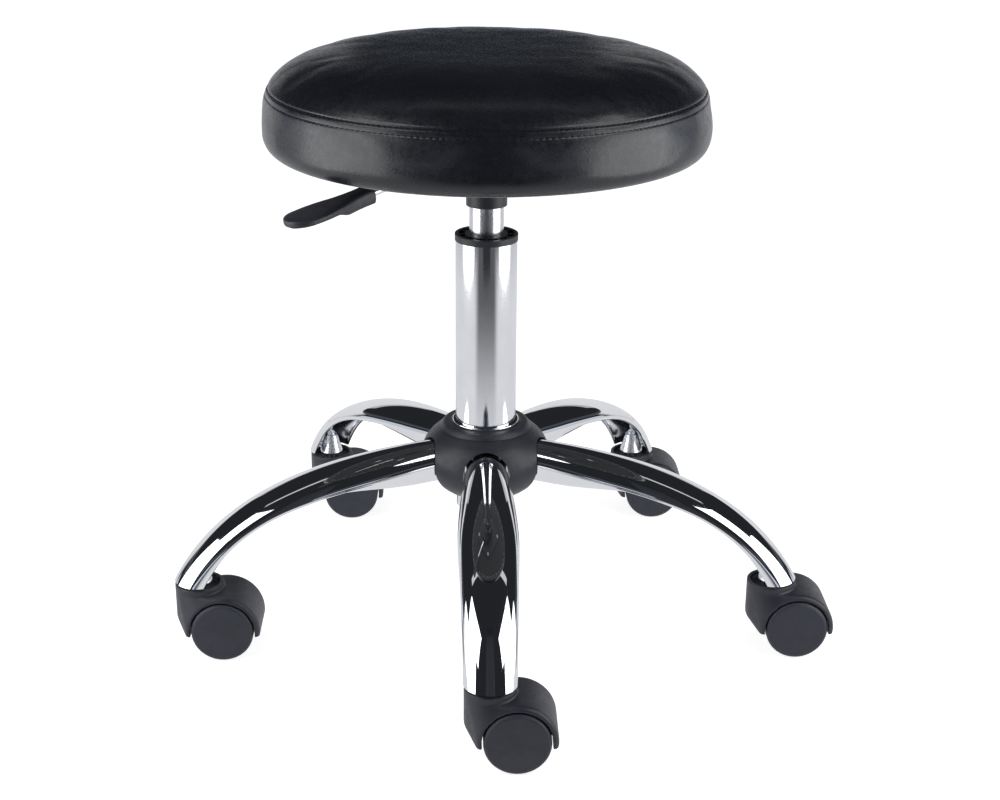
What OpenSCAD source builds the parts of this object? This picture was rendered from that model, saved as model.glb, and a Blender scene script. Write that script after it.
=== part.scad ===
// Rolling stylist stool: a round padded seat on a gas lift, over a base of five
// pressed tube legs with hooded twin-wheel casters.
// Millimetres. The origin is on the floor under the column's axis, +Z is up, the front
// leg points along -Y and all five casters trail towards +X.

/* [Seat] */
// Largest radius of the padded seat, at the middle of its side band
seat_r = 175; // [165:0.5:180]
// Height of the seat's underside above the floor, at the lowest lift position
seat_bottom_z = 402; // [402:0.5:404]
// Height of the crown of the seat
seat_top_z = 479; // [474:0.1:482]
// Height of the upper seam round the seat
seam_z = 450; // [446:0.1:453]

/* [Gas lift] */
// Travel of the gas lift
lift_travel = 120; // [60:5:120]
// Outer diameter of the fixed column
column_d = 50; // [50:0.1:50.4]
// Outer diameter of the sliding gas cylinder
cylinder_d = 28; // [27.6:0.1:28]
// Height of the column's upper end
column_top_z = 326; // [322:1:330]

/* [Base] */
// Number of legs, each with a caster
legs = 5; // [5:1:5]
// Radius of the circle of caster stems
stem_circle_r = 245; // [244:0.5:246]
// Outer diameter of the leg tube where it leaves the hub
leg_tube_d = 34.6; // [34:0.1:34.8]
// Height of the hub's centre
hub_z = 140.4; // [140:0.1:141]

/* [Casters] */
// Wheel diameter
wheel_d = 50; // [49:0.5:50]
// Offset of the wheel axle behind the caster's stem
trail = 19.5; // [19.5:0.1:20]
// Width over the two wheels
wheels_w = 52; // [50:0.5:53]

/* [Lever] */
// Direction of the lever, counted from +X towards +Y
lever_az = 222; // [215:1:230]
// Downward slope of the lever outside its pivot
lever_slope = 7.5; // [7:0.1:8]

/* [Hidden] */

$fn = 64;
run = 0.05;        // radial clearance of a running fit
leg_step = 360 / legs;

// Colours
chrome = [0.80, 0.81, 0.83];
zinc = [0.66, 0.69, 0.73];
steel = [0.55, 0.56, 0.58];
nylon = [0.11, 0.11, 0.12];
vinyl = [0.05, 0.05, 0.055];
rubber = [0.08, 0.08, 0.08];
plywood = [0.72, 0.55, 0.36];

// Legs: stations along the crown line and points round the section
leg_stations = 18;
arc_steps = 10;
sleeve_r = 30;
leg_root_r = sleeve_r + 0.12;
leg_tip_r = stem_circle_r + 19.5;
leg_tip_z = 62.3;
leg_crown = [[sleeve_r, hub_z + leg_tube_d / 2], [146, 156], [228, 126],
             [leg_tip_r, leg_tip_z]];
leg_widths = [leg_tube_d, 43.5, 47.6, 44.0, 41.3, 40.2];
leg_depths = [leg_tube_d / 2, 18.0, 14.2, 11.6, 12.6, 18.6];
sheet_t = 1.2;          // wall of the pressed tube
pressed_t = 3.0;        // both walls pressed together, with the gap between them
press_start = 0.08;     // where the underside starts to be pushed in, as a share of length
press_end = 0.60;
turn_start = 0.72;      // where the section starts turning to end flat over the caster

// Casters
hood_r = 30.2;
hood_w = 48;
opening_r = 26;
cup_r = 19.5;
cup_top_z = 60;
cup_floor_z = 55.5;
cup_bottom_z = 21;
cup_round = 11;
hood_end_z = 20.5;
web_t = 8;
pivot_boss_r = 7.5;
stem_r = 5;
stem_low_z = 31;
socket_stem_r = 4.4;
stem_top_z = 82;
axle_r = 3;
axle_l = 38.6;
axle_z = wheel_d / 2;
ring_z = 70;
socket_low_z = 61.5;
socket_top_z = 77.5;

// Column and gas lift
column_r = column_d / 2;
cylinder_r = cylinder_d / 2;
taper_low_z = 350;
taper_top_z = 376;
taper_top_r = 12.9;
cylinder_low_z = 113.3;
cylinder_bore_r = 12.5;
gland_top_z = 132;
piston_z = gland_top_z + lift_travel + 0.3;
rod_r = 5;
rod_neck_r = 4;
column_low_z = 96;
race_z = column_low_z + 3;
ball_circle_r = 9.5;
ball_count = 12;
pin_r = 4;

// Lever and mechanism, in a frame turned so that +X points along the lever
pivot_x = 38;
pivot_z = 394.2;
lever_rod_r = 3.2;
cross_pin_r = 3;
handle_start = 118.5;
handle_l = 79;
plate_z = seat_bottom_z - 3;
housing_low_z = 374;
bolt_half = 56;

// Seat
seam_r = seat_r - 5.4;
belly_z = 417.5;
board_r = 160;
board_z = seat_bottom_z + 0.8;
board_t = 12;
cover_t = 1.3;

function ease(u) = let (v = min(1, max(0, u))) v * v * (3 - 2 * v);

// Smooth curve through evenly spaced keys, level at both ends
function through(keys, s) =
    let (n = len(keys) - 1, i = min(n - 1, floor(s * n)), u = s * n - i,
         a = keys[i == 0 ? 1 : i - 1], b = keys[i], c = keys[i + 1],
         d = keys[i + 2 > n ? n - 1 : i + 2])
    b + ((c - a) * u + (2 * a - 5 * b + 4 * c - d) * pow(u, 2)
         + (3 * b - a - 3 * c + d) * pow(u, 3)) / 2;

function bezier(p, t) = pow(1 - t, 3) * p[0] + 3 * pow(1 - t, 2) * t * p[1]
                        + 3 * (1 - t) * pow(t, 2) * p[2] + pow(t, 3) * p[3];
function bezier_way(p, t) = pow(1 - t, 2) * (p[1] - p[0])
                            + 2 * (1 - t) * t * (p[2] - p[1]) + pow(t, 2) * (p[3] - p[2]);

function stem_angle(i) = -90 + (i - 1) * leg_step;

module at_stem(i) {
    rotate(stem_angle(i)) translate([stem_circle_r, 0, 0]) rotate(-stem_angle(i))
        children();
}

module tube(r_out, r_in, z0, z1) {
    difference() {
        translate([0, 0, z0]) cylinder(r = r_out, h = z1 - z0);
        translate([0, 0, z0 - 1]) cylinder(r = r_in, h = z1 - z0 + 2);
    }
}

module rounded_plate(l, w, r, h) {
    linear_extrude(h) {
        square([l - 2 * r, w], center = true);
        square([l, w - 2 * r], center = true);
        for (sx = [-1, 1], sy = [-1, 1])
            translate([sx * (l / 2 - r), sy * (w / 2 - r)]) circle(r);
    }
}

// ---- Legs ----

// Closed loop of one section: the crown arc, a rolled lip, the underside and a lip.
// Each point is [across, down from the crown].
function section_loop(half_top, half_low, top_depth, low_depth, lip_depth, inset) =
    concat(
        [for (k = [0:arc_steps]) let (a = 180 * k / arc_steps)
            [half_top * cos(a), inset + top_depth * (1 - sin(a))]],
        [[-(half_top + half_low) / 2, inset + top_depth + lip_depth]],
        [for (k = [arc_steps:-1:0]) let (a = 180 * k / arc_steps)
            [half_low * cos(a), inset + top_depth - low_depth * sin(a)]],
        [[(half_top + half_low) / 2, inset + top_depth + lip_depth]]);

function outer_loop(s) =
    let (half = through(leg_widths, s) / 2, depth = through(leg_depths, s),
         pressed = ease((s - press_start) / (press_end - press_start)),
         thick = leg_tube_d + (pressed_t - leg_tube_d) * pressed,
         lip = 0.8 + (pressed_t - 0.8) * pressed)
    section_loop(half, half - lip, depth, depth - thick, lip / 2, 0);

function inner_loop(s) =
    let (half = through(leg_widths, s) / 2, depth = through(leg_depths, s),
         pressed = ease((s - press_start) / (press_end - press_start)),
         thick = leg_tube_d + (pressed_t - leg_tube_d) * pressed)
    section_loop(half - sheet_t, half - sheet_t - 0.3 - 0.3 * pressed, depth - sheet_t,
                 depth - thick + sheet_t, 0.15, sheet_t);

// One section placed at share s of the leg's length
function placed(loop, s) =
    let (c = bezier(leg_crown, s), w = bezier_way(leg_crown, s),
         slope = atan2(-w[1], w[0]),
         tilt = slope + (90 - slope) * ease((s - turn_start) / (1 - turn_start)))
    [for (p = loop) [c[0] - p[1] * sin(tilt), p[0], c[1] - p[1] * cos(tilt)]];

// The first section is coped to the hub sleeve
function coped(loop) =
    [for (p = loop) [sqrt(pow(leg_root_r, 2) - pow(p[0], 2)), p[0],
                     leg_crown[0][1] - p[1]]];

module leg(i) {
    n = 2 * arc_steps + 4;
    m = leg_stations;
    outer = [for (j = [0:m]) j == 0 ? coped(outer_loop(0)) : placed(outer_loop(j / m), j / m)];
    inner = [for (j = [0:m]) j == 0 ? coped(inner_loop(0)) : placed(inner_loop(j / m), j / m)];
    points = concat([for (ring = outer, p = ring) p], [for (ring = inner, p = ring) p]);
    shift = n * (m + 1);
    sides = [for (j = [0:m - 1], k = [0:n - 1])
        let (a = j * n + k, b = j * n + (k + 1) % n, c = a + n, d = b + n)
        each [[a, b, d], [a, d, c], [shift + a, shift + d, shift + b],
              [shift + a, shift + c, shift + d]]];
    ends = [for (k = [0:n - 1])
        let (b = (k + 1) % n, e = m * n)
        each [[k, shift + b, b], [k, shift + k, shift + b],
              [e + k, e + b, shift + e + b], [e + k, shift + e + b, shift + e + k]]];
    color(chrome) rotate(stem_angle(i)) polyhedron(points, concat(sides, ends));
}

// ---- Hub ----

hub_r = 53.5;
hub_half_h = 37.3;
hub_wall = 2.5;
hub_low_z = 109;
sleeve_low_z = 115;
sleeve_top_z = 166;
column_taper_low_r = 24.2;
column_taper_z = [112, 170];
trim_r = 27.6;
slot_r = 18.9;

function column_r_at(z) =
    column_taper_low_r + (column_r - column_taper_low_r)
    * (z - column_taper_z[0]) / (column_taper_z[1] - column_taper_z[0]);

module hub_sleeve() {
    color(steel) difference() {
        translate([0, 0, sleeve_low_z]) cylinder(r = sleeve_r, h = sleeve_top_z - sleeve_low_z);
        translate([0, 0, sleeve_low_z - 1])
            cylinder(r1 = column_r_at(sleeve_low_z - 1), r2 = column_r_at(sleeve_top_z + 1),
                     h = sleeve_top_z - sleeve_low_z + 2);
    }
}

// Flattened ball from two tangent arcs a quarter: a tight one round the side and a wide
// one over the top
module hub_oval(grow) {
    side_r = 27;
    side_x = hub_r - side_r;
    drop = (pow(side_x, 2) - pow(hub_half_h - side_r, 2)) / (2 * (hub_half_h - side_r));
    top_r = hub_half_h + drop;
    join = atan2(drop, side_x);
    rotate_extrude() intersection() {
        translate([0, -hub_half_h - grow]) square([hub_r + grow, 2 * (hub_half_h + grow)]);
        union() {
            translate([side_x, 0]) circle(side_r + grow);
            intersection() {
                for_both_halves(drop) circle(top_r + grow);
                translate([0, -hub_half_h - grow])
                    square([side_x + (side_r + grow) * cos(join), 2 * (hub_half_h + grow)]);
            }
        }
    }
}

// What the child covers both when moved down and when moved up
module for_both_halves(shift) {
    intersection() {
        translate([0, -shift]) children();
        translate([0, shift]) children();
    }
}

module hub_cover() {
    collar_r = 36;
    collar_top = 30.2;
    color(nylon) difference() {
        translate([0, 0, hub_z]) union() {
            hub_oval(0);
            rotate_extrude() polygon([[0, 20], [collar_r + 2, 26], [collar_r, collar_top - 1.6],
                [collar_r - 1.2, collar_top - 0.4], [collar_r - 3, collar_top],
                [0, collar_top + 1.6]]);
        }
        translate([0, 0, hub_z]) hub_oval(-hub_wall);
        translate([0, 0, hub_low_z - 50]) cylinder(r = hub_r + 1, h = 50);
        translate([0, 0, 90]) cylinder(r = trim_r + 0.2, h = 100);
        for (i = [1:legs]) rotate(stem_angle(i)) {
            translate([sleeve_r + 2, 0, hub_z]) rotate([0, 90, 0])
                cylinder(r = slot_r, h = 40);
            translate([sleeve_r + 2, -slot_r, hub_low_z - 10])
                cube([40, 2 * slot_r, hub_z - hub_low_z + 10]);
        }
    }
}

module hub_trim_ring() {
    ring_low = 168.4;
    ring_h = 4.4;
    round_r = 1.2;
    color(chrome) rotate_extrude() difference() {
        union() {
            translate([column_r, ring_low]) square([trim_r - column_r, ring_h - round_r]);
            translate([column_r, ring_low]) square([trim_r - column_r - round_r, ring_h]);
            translate([trim_r - round_r, ring_low + ring_h - round_r]) circle(round_r);
        }
        translate([0, ring_low - 1]) square([column_r, ring_h + 2]);
    }
}

module column_tube() {
    wall = 1.6;
    low_bore_r = 22.4;
    color(chrome) difference() {
        union() {
            translate([0, 0, column_low_z])
                cylinder(r = column_taper_low_r, h = column_taper_z[0] - column_low_z);
            translate([0, 0, column_taper_z[0]])
                cylinder(r1 = column_taper_low_r, r2 = column_r,
                         h = column_taper_z[1] - column_taper_z[0]);
            translate([0, 0, column_taper_z[1]])
                cylinder(r = column_r, h = column_top_z - column_taper_z[1]);
        }
        translate([0, 0, race_z]) cylinder(r = low_bore_r, h = column_taper_z[1] - race_z);
        translate([0, 0, column_taper_z[1]])
            cylinder(r = column_r - wall, h = column_top_z - column_taper_z[1] + 1);
        translate([0, 0, column_low_z - 1]) cylinder(r = rod_neck_r + 0.1, h = 5);
    }
}

module column_bushing() {
    flange_r = column_r + 0.5;
    flange_h = 5;
    sleeve_l = 64;
    groove_in = 17.2;
    groove_out = 22.6;
    groove_depth = 3;
    ribs = 12;
    top = column_top_z + flange_h;
    color(nylon) difference() {
        union() {
            tube(column_r - 1.6, cylinder_r + run, column_top_z - sleeve_l, column_top_z);
            tube(flange_r, cylinder_r + run, column_top_z, top);
        }
        difference() {
            tube(groove_out, groove_in, top - groove_depth, top + 1);
            for (k = [0:ribs - 1]) rotate(k * 360 / ribs)
                translate([groove_in - 1, -0.8, top - groove_depth - 1])
                    cube([groove_out - groove_in + 2, 1.6, groove_depth + 0.6]);
        }
    }
}

// ---- Caster stems and their sockets ----

module stem_sockets() {
    low_r = 10.65;
    top_r = 5.9;
    bracket_w = 15;
    bracket_l = 14.3;
    color(chrome) for (i = [1:legs]) at_stem(i) difference() {
        union() {
            translate([0, 0, socket_low_z])
                cylinder(r1 = low_r, r2 = top_r, h = socket_top_z - socket_low_z);
            rotate(stem_angle(i)) translate([0, -bracket_w / 2, socket_low_z + 1.5])
                cube([bracket_l, bracket_w, 3]);
        }
        translate([0, 0, socket_low_z - 1]) cylinder(r = stem_r, h = 30);
    }
}

module caster_stems() {
    dome_h = socket_stem_r;
    neck_r = 3.9;
    flange_r = 6.5;
    color(zinc) for (i = [1:legs]) at_stem(i) rotate_extrude() difference() {
        union() {
            translate([0, stem_low_z]) square([stem_r, socket_low_z - stem_low_z]);
            translate([0, socket_low_z - 1.2]) square([flange_r, 1.2]);
            translate([0, socket_low_z]) square([socket_stem_r, stem_top_z - dome_h - socket_low_z]);
            polygon(concat([[0, stem_top_z - dome_h - 1]],
                [for (a = [0:9:90]) [socket_stem_r * cos(a),
                                     stem_top_z - dome_h + dome_h * sin(a)]]));
        }
        translate([neck_r, ring_z]) square([stem_r, 4]);
    }
}

module stem_grip_rings() {
    split = 1.6;
    color(steel) for (i = [1:legs]) at_stem(i) difference() {
        tube(stem_r - 0.02, 4, ring_z + 0.2, ring_z + 3.8);
        rotate(stem_angle(i)) translate([-8, -split / 2, ring_z - 1]) cube([8, split, 6]);
    }
}

// ---- Piston rod and thrust bearing ----

module thrust_race_lower() {
    color(steel) tube(12.5, 4.6, race_z, race_z + 1);
}

module thrust_race_upper() {
    color(steel) tube(12.5, rod_neck_r, race_z + 4, race_z + 5);
}

module bearing_cage() {
    color("goldenrod") difference() {
        tube(12.2, 6.6, race_z + 2, race_z + 3);
        for (k = [0:ball_count - 1]) rotate(k * 360 / ball_count)
            translate([ball_circle_r, 0, race_z + 1]) cylinder(r = 1.52, h = 3);
    }
}

module bearing_balls() {
    color(zinc) for (k = [0:ball_count - 1]) rotate(k * 360 / ball_count)
        translate([ball_circle_r, 0, race_z + 2.5]) sphere(r = 1.48);
}

module piston_rod() {
    rod_low_z = 89;
    color(zinc) {
        difference() {
            translate([0, 0, rod_low_z]) cylinder(r = rod_neck_r, h = race_z + 5 - rod_low_z);
            tube(6, 3.2, 92, 93.2);
        }
        translate([0, 0, race_z + 5]) cylinder(r = rod_r, h = piston_z + 4 - race_z - 5);
    }
}

module rod_clip() {
    color(steel) difference() {
        tube(8, 3.2, 92, 93.2);
        translate([0, -2.6, 91]) cube([10, 5.2, 4]);
    }
}

module rubber_bumper() {
    color(rubber) tube(11, rod_r, race_z + 5, cylinder_low_z - 0.3);
}

module piston_head() {
    ring_r = cylinder_bore_r - 0.1;
    color("goldenrod") difference() {
        translate([0, 0, piston_z]) cylinder(r = ring_r, h = 10);
        translate([0, 0, piston_z - 1]) cylinder(r = rod_r, h = 5);
        tube(ring_r + 1, ring_r - 1.2, piston_z + 4, piston_z + 6);
    }
}

// ---- Gas cylinder ----

module gas_cylinder() {
    color(chrome) difference() {
        union() {
            translate([0, 0, cylinder_low_z])
                cylinder(r = cylinder_r, h = taper_low_z - cylinder_low_z);
            translate([0, 0, taper_low_z])
                cylinder(r1 = cylinder_r, r2 = taper_top_r, h = taper_top_z - taper_low_z);
        }
        translate([0, 0, cylinder_low_z - 1])
            cylinder(r = cylinder_bore_r, h = taper_low_z - cylinder_low_z + 1);
        translate([0, 0, taper_low_z - 1]) cylinder(r = pin_r + run, h = 40);
    }
}

module cylinder_gland() {
    color(rubber) tube(cylinder_bore_r, rod_r + run, cylinder_low_z + 0.5, gland_top_z);
}

module valve_body() {
    color("goldenrod") difference() {
        translate([0, 0, taper_low_z - 16]) cylinder(r = cylinder_bore_r, h = 16);
        translate([0, 0, taper_low_z - 13]) cylinder(r = pin_r + run, h = 20);
    }
}

module release_pin() {
    pin_low_z = 344;
    pin_top_z = pivot_z - lever_rod_r - 0.5;
    chamfer = 1;
    color(zinc) {
        translate([0, 0, pin_low_z]) cylinder(r = pin_r, h = pin_top_z - chamfer - pin_low_z);
        translate([0, 0, pin_top_z - chamfer])
            cylinder(r1 = pin_r, r2 = pin_r - chamfer, h = chamfer);
    }
}

// ---- Mechanism under the seat ----

module taper_boss() {
    boss_r = 16.5;
    boss_low_z = 354.6;
    flare_z = 366;
    flare_r = 21;
    neck_r = 15.5;
    bore_low_r = cylinder_r - (cylinder_r - taper_top_r)
                 * (boss_low_z - 1 - taper_low_z) / (taper_top_z - taper_low_z);
    color(nylon) difference() {
        union() {
            translate([0, 0, boss_low_z]) cylinder(r = boss_r, h = flare_z - boss_low_z);
            translate([0, 0, flare_z])
                cylinder(r1 = boss_r, r2 = flare_r, h = housing_low_z - flare_z);
            translate([0, 0, housing_low_z]) cylinder(r = neck_r, h = 2.5);
        }
        translate([0, 0, boss_low_z - 1])
            cylinder(r1 = bore_low_r, r2 = taper_top_r, h = taper_top_z - boss_low_z + 1);
        translate([0, 0, taper_top_z]) cylinder(r = taper_top_r, h = 5);
    }
}

module lever_housing() {
    length = 76;
    width = 50;
    wall = 2.5;
    centre_x = 8;
    ear_w = 3;
    ear_gap = 8;
    height = plate_z - housing_low_z;
    color(steel) rotate(lever_az) {
        difference() {
            translate([centre_x, 0, housing_low_z]) rounded_plate(length, width, 7, height);
            translate([centre_x, 0, housing_low_z + wall])
                rounded_plate(length - 2 * wall, width - 2 * wall, 4.5, height);
            translate([0, 0, housing_low_z - 1]) cylinder(r = 15.5, h = 5);
            translate([length / 2 + centre_x - 2 * wall, -6.5, pivot_z - 9])
                cube([4 * wall, 13, 13]);
        }
        for (s = [-1, 1]) difference() {
            translate([pivot_x - 4.5, s * (ear_gap + ear_w / 2) - ear_w / 2, housing_low_z + 1])
                cube([9, ear_w, pivot_z - housing_low_z + 3]);
            translate([pivot_x, 30, pivot_z]) rotate([90, 0, 0])
                cylinder(r = cross_pin_r + run, h = 60);
        }
    }
}

module mount_plate() {
    size = 140;
    thickness = 3;
    color(steel) rotate(lever_az) difference() {
        translate([0, 0, plate_z]) rounded_plate(size, size, 12, thickness);
        for (sx = [-1, 1], sy = [-1, 1])
            translate([sx * bolt_half, sy * bolt_half, plate_z - 1])
                cylinder(r = 3.3, h = thickness + 2);
    }
}

module plate_bolts() {
    shank_r = 3;
    head_r = 6;
    head_h = 3.6;
    color(zinc) rotate(lever_az) for (sx = [-1, 1], sy = [-1, 1])
        translate([sx * bolt_half, sy * bolt_half, plate_z - head_h]) difference() {
            union() {
                cylinder(r1 = head_r - 1, r2 = head_r, h = head_h);
                cylinder(r = shank_r, h = head_h + 14);
            }
            for (a = [0, 90]) rotate(a) translate([-3.2, -0.6, -1]) cube([6.4, 1.2, 2.8]);
        }
}

module t_nuts() {
    flange_r = 9;
    barrel_r = 4;
    color(zinc) rotate(lever_az) for (sx = [-1, 1], sy = [-1, 1])
        translate([sx * bolt_half, sy * bolt_half, 0]) difference() {
            union() {
                translate([0, 0, board_z + 3]) cylinder(r = barrel_r, h = board_t - 3);
                translate([0, 0, board_z + board_t - 1.2]) cylinder(r = flange_r, h = 1.2);
            }
            translate([0, 0, board_z]) cylinder(r = 3, h = board_t + 1);
        }
}

module seat_board() {
    color(plywood) difference() {
        translate([0, 0, board_z]) cylinder(r = board_r, h = board_t);
        rotate(lever_az) for (sx = [-1, 1], sy = [-1, 1])
            translate([sx * bolt_half, sy * bolt_half, board_z - 1]) {
                cylinder(r = 4, h = board_t + 2);
                translate([0, 0, board_t - 0.2]) cylinder(r = 9, h = 2);
            }
    }
}

module dust_cover() {
    color(rubber) difference() {
        translate([0, 0, seat_bottom_z]) cylinder(r = board_r - 1.2, h = 0.8);
        rotate(lever_az) for (sx = [-1, 1], sy = [-1, 1])
            translate([sx * bolt_half, sy * bolt_half, seat_bottom_z - 1])
                cylinder(r = 3.3, h = 3);
    }
}

// Outline of the padded seat, taken in by a margin, with a flat underside at low_z
function seat_outline(margin, low_z) =
    let (low_round = 11.2, seam = seam_r - margin, belly = seat_r - margin,
         crown_h = seat_top_z - margin - seam_z)
    concat(
        [for (k = [0:12]) let (r = seam * pow(sin(90 * k / 12), 0.6))
            [r, seam_z + crown_h * pow(max(0, 1 - pow(r / seam, 5.7)), 0.77)]],
        [for (k = [1:5]) let (u = k / 5)
            [seam + (belly - seam) * sqrt(1 - pow(1 - u, 2)), seam_z + (belly_z - seam_z) * u]],
        [for (a = [15:15:90])
            [belly - low_round * (1 - cos(a)), belly_z - (belly_z - low_z) * sin(a)]]);

module seat_foam() {
    pocket_r = board_r + 0.2;
    pocket_z = board_z + board_t;
    color("khaki") rotate_extrude($fn = 128) polygon(concat(
        seat_outline(cover_t, board_z),
        [[pocket_r, board_z], [pocket_r, pocket_z], [0, pocket_z]]));
}

// Vinyl cover, turned in under the board's edge
module seat_cover() {
    turned_in_r = board_r - 1;
    color(vinyl) rotate_extrude($fn = 128) polygon(concat(
        seat_outline(0, seat_bottom_z), [[turned_in_r, seat_bottom_z], [turned_in_r, board_z]],
        let (inside = seat_outline(cover_t, board_z))
        [for (k = [len(inside) - 1:-1:0]) inside[k]]));
}

// ---- Lever ----

module along_lever() {
    rotate(lever_az) translate([pivot_x, 0, pivot_z]) rotate([0, lever_slope, 0]) children();
}

// Level from over the release pin to the pivot, where it bends down in a collar on its
// cross pin
module lever_rod() {
    inner_l = pivot_x + 5;
    outer_l = handle_start - pivot_x + 22;
    collar_r = 4.2;
    collar_l = 13;
    cross_pin_l = 24;
    color(chrome) along_lever() {
        rotate([0, -lever_slope, 0]) translate([-inner_l, 0, 0]) rotate([0, 90, 0])
            cylinder(r = lever_rod_r, h = inner_l);
        rotate([0, 90, 0]) cylinder(r = lever_rod_r, h = outer_l);
        rotate([90, 0, 0]) cylinder(r = collar_r, h = collar_l, center = true);
        rotate([90, 0, 0]) cylinder(r = cross_pin_r, h = cross_pin_l, center = true);
    }
}

// Paddle with a deeper root block: a plan outline cut by a side outline
module lever_handle() {
    tip_half_w = 15;
    root_half_w = 7.5;
    from = handle_start - pivot_x;
    steps = 14;
    waist = [for (k = [0:steps]) let (u = k / steps)
        [u * (handle_l - tip_half_w),
         root_half_w + (tip_half_w - root_half_w) * ease((u - 0.15) / 0.75)]];
    tip = [for (a = [75:-15:-75])
        [handle_l - tip_half_w + tip_half_w * cos(a), tip_half_w * sin(a)]];
    back = [for (k = [steps:-1:0]) [waist[k][0], -waist[k][1]]];
    side = [[0, -7.2], [28, -7.8], [40, -3.8], [handle_l - 2, -3.0], [handle_l + 1, -1.5],
            [handle_l + 1, 1.5], [handle_l - 2, 3.0], [34, 4.6], [6, 6.0], [0, 5.0]];
    color(nylon) along_lever() translate([from, 0, 0]) difference() {
        intersection() {
            translate([0, 0, -20]) linear_extrude(40) polygon(concat(waist, tip, back));
            translate([0, 20, 0]) rotate([90, 0, 0]) linear_extrude(40) polygon(side);
        }
        translate([-1, 0, 0]) rotate([0, 90, 0]) cylinder(r = lever_rod_r, h = 23);
    }
}

// ---- Casters ----

module at_axle(i) {
    at_stem(i) translate([trail, 0, axle_z]) children();
}

// Disc about the axle with rounded edges
module hood_disc() {
    edge = 4;
    rotate([90, 0, 0]) rotate_extrude($fn = 40) {
        translate([0, -hood_w / 2 + edge]) square([hood_r, hood_w - 2 * edge]);
        translate([0, -hood_w / 2]) square([hood_r - edge, hood_w]);
        for (s = [-1, 1]) translate([hood_r - edge, s * (hood_w / 2 - edge)])
            circle(edge, $fn = 16);
    }
}

module cup_body() {
    rotate_extrude($fn = 40) polygon(concat(
        [[0, cup_bottom_z]],
        [for (a = [-90:15:0]) [cup_r - cup_round + cup_round * cos(a),
                               cup_bottom_z + cup_round + cup_round * sin(a)]],
        [[cup_r, axle_z + hood_r - 0.5], [0, axle_z + hood_r - 0.5]]));
}

module caster_hood(i) {
    color(nylon) at_stem(i) difference() {
        union() {
            hull() {
                cup_body();
                intersection() {
                    translate([trail, 0, axle_z]) hood_disc();
                    translate([0, -50, hood_end_z]) cube(100);
                }
            }
            translate([0, 0, 45]) cylinder(r = cup_r, h = cup_top_z - 45);
        }
        difference() {
            for (s = [-1, 1]) translate([trail, s * (web_t / 2 + 25), axle_z])
                rotate([90, 0, 0]) cylinder(r = opening_r, h = 50, center = true);
            cylinder(r = pivot_boss_r, h = 60);
        }
        translate([0, 0, cup_floor_z]) cylinder(r = cup_r - 3, h = 10);
        translate([0, 0, stem_low_z - 0.4]) cylinder(r = stem_r + run, h = 40);
        translate([trail, 0, axle_z]) rotate([90, 0, 0])
            cylinder(r = axle_r, h = 40, center = true);
    }
}

module caster_axle(i) {
    color(zinc) at_axle(i) rotate([90, 0, 0]) difference() {
        cylinder(r = axle_r, h = axle_l, center = true);
        for (s = [-1, 1]) translate([0, 0, s * 16]) rotate_extrude()
            translate([2.45, -1]) square([2, 2]);
    }
}

// One wheel. side -1 is on the -Y side of the caster.
module caster_wheel(i, side) {
    r = wheel_d / 2;
    face = wheels_w / 2;
    hub_start = web_t / 2 + 0.6;
    rim_start = 8.7;
    bevel = 3.4;
    bore_end = 19.6;
    outline = concat(
        [[0, hub_start], [7.4, hub_start], [7.4, rim_start + 3], [19.5, rim_start + 3],
         [20.5, rim_start], [r - 1.2, rim_start], [r, rim_start + 1.4]],
        [for (a = [0:18:90]) [r - bevel + bevel * cos(a), face - 0.6 - bevel + bevel * sin(a)]],
        [for (k = [1:4]) [(r - bevel) * (1 - k / 4), face - 0.6 * pow(1 - k / 4, 2)]]);
    color(nylon) at_axle(i) rotate([side * 90, 0, 0]) mirror([0, 0, 1]) difference() {
        rotate_extrude() polygon(outline);
        cylinder(r = axle_r + run, h = 15.3);
        cylinder(r = 2.5, h = 18);
        translate([0, 0, 16.7]) cylinder(r = axle_r + run, h = bore_end - 16.7);
    }
}

for (i = [1:legs]) leg(i);
hub_sleeve();
hub_cover();
hub_trim_ring();
column_tube();
column_bushing();
stem_sockets();
caster_stems();
stem_grip_rings();
thrust_race_lower();
piston_rod();
piston_head();
rod_clip();
thrust_race_upper();
rubber_bumper();
bearing_cage();
bearing_balls();
gas_cylinder();
cylinder_gland();
valve_body();
taper_boss();
lever_housing();
mount_plate();
plate_bolts();
t_nuts();
seat_board();
dust_cover();
seat_foam();
seat_cover();
release_pin();
lever_rod();
lever_handle();
for (i = [1:legs]) caster_hood(i);
for (i = [1:legs]) caster_axle(i);
for (i = [1:legs]) caster_wheel(i, -1);
for (i = [1:legs]) caster_wheel(i, 1);
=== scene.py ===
"""Looks of the rolling stylist stool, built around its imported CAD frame.

Metres, in the frame's own axes. The legs, caster hoods and lever handle are smooth skins over
their CAD solids, the seat is a sewn vinyl cover whose puffed shape comes from a cloth
simulation, and every other CAD node keeps its mesh and gets its finish here.
"""
import math

import bmesh
import bpy
import numpy as np
from mathutils import Euler, Matrix, Vector, noise
from mathutils.bvhtree import BVHTree


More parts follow.
